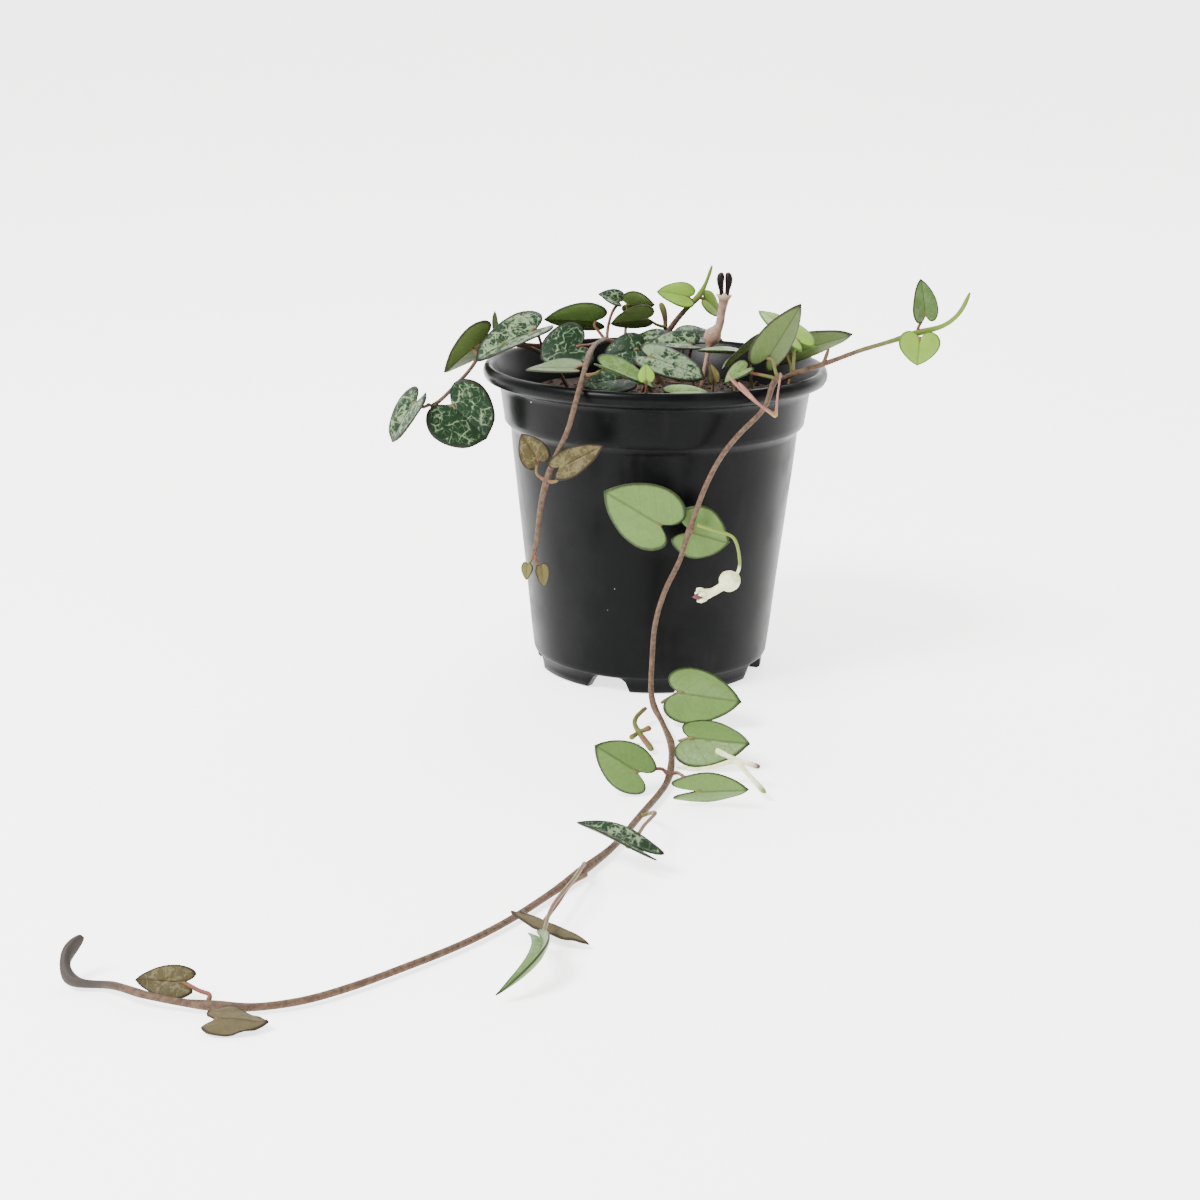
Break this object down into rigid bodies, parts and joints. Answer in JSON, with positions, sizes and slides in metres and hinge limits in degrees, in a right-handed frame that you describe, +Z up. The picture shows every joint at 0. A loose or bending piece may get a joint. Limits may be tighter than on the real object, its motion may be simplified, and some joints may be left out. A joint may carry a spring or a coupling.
{
  "type": "potted string of hearts",
  "caption": "Trailing heart-leaved vine growing in a round plastic nursery pot, with shoots over the rim and one lying along the ground.",
  "frame": {"origin": "middle of the pot's underside, on the ground the pot stands on", "axes": "+Z up along the pot's axis, -Y towards the front where the long vine runs out, +X to the right seen from the front"},
  "size_m": [0.2138, 0.2987, 0.1206],
  "materials": {
    "pot_plastic": "black satin nursery-pot plastic, lightly dusty",
    "potting_mix": "dark crumbly peat and bark potting mix",
    "stem": "brown-mauve wiry stem, dull",
    "leaf_marbled": "dark green leaf upper side with silver-green marbling, waxy",
    "leaf_sage": "grey-green leaf underside with a darker edge",
    "leaf_pale": "light green leaf underside with a dark green and purple edge, satin",
    "leaf_young": "bright yellow-green young leaf, waxy",
    "leaf_dull": "brown-olive ageing leaf with darker speckles",
    "leaf_dry": "dry brown shrunken leaf, matte",
    "flower_mauve": "pale mauve flower tube with near-black maroon lobes",
    "flower_cream": "cream-white flower with a faint green tinge",
    "flower_pink": "slim pink flower bud"
  },
  "bodies": {
    "root": {"pot": "pot_plastic", "soil": "potting_mix", "stem_main": "stem", "stem_left": "stem", "stem_far_left": "stem", "stem_right": "stem", "stem_centre": "stem", "leaf_hanging_round": "leaf_marbled", "leaf_hanging_oblique": "leaf_marbled", "leaf_left_sage": "leaf_sage", "leaf_left_small": "leaf_sage", "leaf_left_broad": "leaf_marbled", "leaf_left_back": "leaf_pale", "leaf_left_dark": "leaf_marbled", "leaf_left_low": "leaf_sage", "leaf_centre_speckled": "leaf_marbled", "leaf_centre_back": "leaf_sage", "leaf_centre_under": "leaf_sage", "leaf_centre_marbled": "leaf_marbled", "leaf_centre_dark": "leaf_marbled", "leaf_front_dark": "leaf_marbled", "leaf_front_long": "leaf_pale", "leaf_front_tiny": "leaf_young", "leaf_front_pale": "leaf_marbled", "leaf_middle_folded": "leaf_marbled", "leaf_back_marbled": "leaf_marbled", "leaf_middle_edge": "leaf_pale", "leaf_rim_low": "leaf_pale", "leaf_shrivelled": "leaf_dry", "leaf_young_left": "leaf_young", "leaf_young_right": "leaf_young", "leaf_shoot_upright": "leaf_sage", "leaf_shoot_hanging": "leaf_young", "leaf_right_bright": "leaf_young", "leaf_right_tall": "leaf_sage", "leaf_right_inner": "leaf_sage", "leaf_right_back": "leaf_sage", "leaf_right_folded": "leaf_pale", "leaf_brown_left": "leaf_dull", "leaf_brown_right": "leaf_dull", "leaf_dry_upper": "leaf_dry", "leaf_dry_lower": "leaf_dry", "leaf_front_large": "leaf_pale", "leaf_front_behind": "leaf_pale", "leaf_ground_first": "leaf_pale", "leaf_ground_second": "leaf_pale", "leaf_ground_left": "leaf_pale", "leaf_ground_folded": "leaf_pale", "leaf_lower_marbled": "leaf_marbled", "leaf_lower_brown": "leaf_dull", "leaf_lower_curled": "leaf_pale", "leaf_end_brown": "leaf_dull", "leaf_end_dry": "leaf_dull", "flower_upright": "flower_mauve", "flower_hanging": "flower_cream", "flower_buds": "flower_pink", "flowers_faded": "flower_cream", "buds_dried": "leaf_dry"}
  },
  "joints": []
}
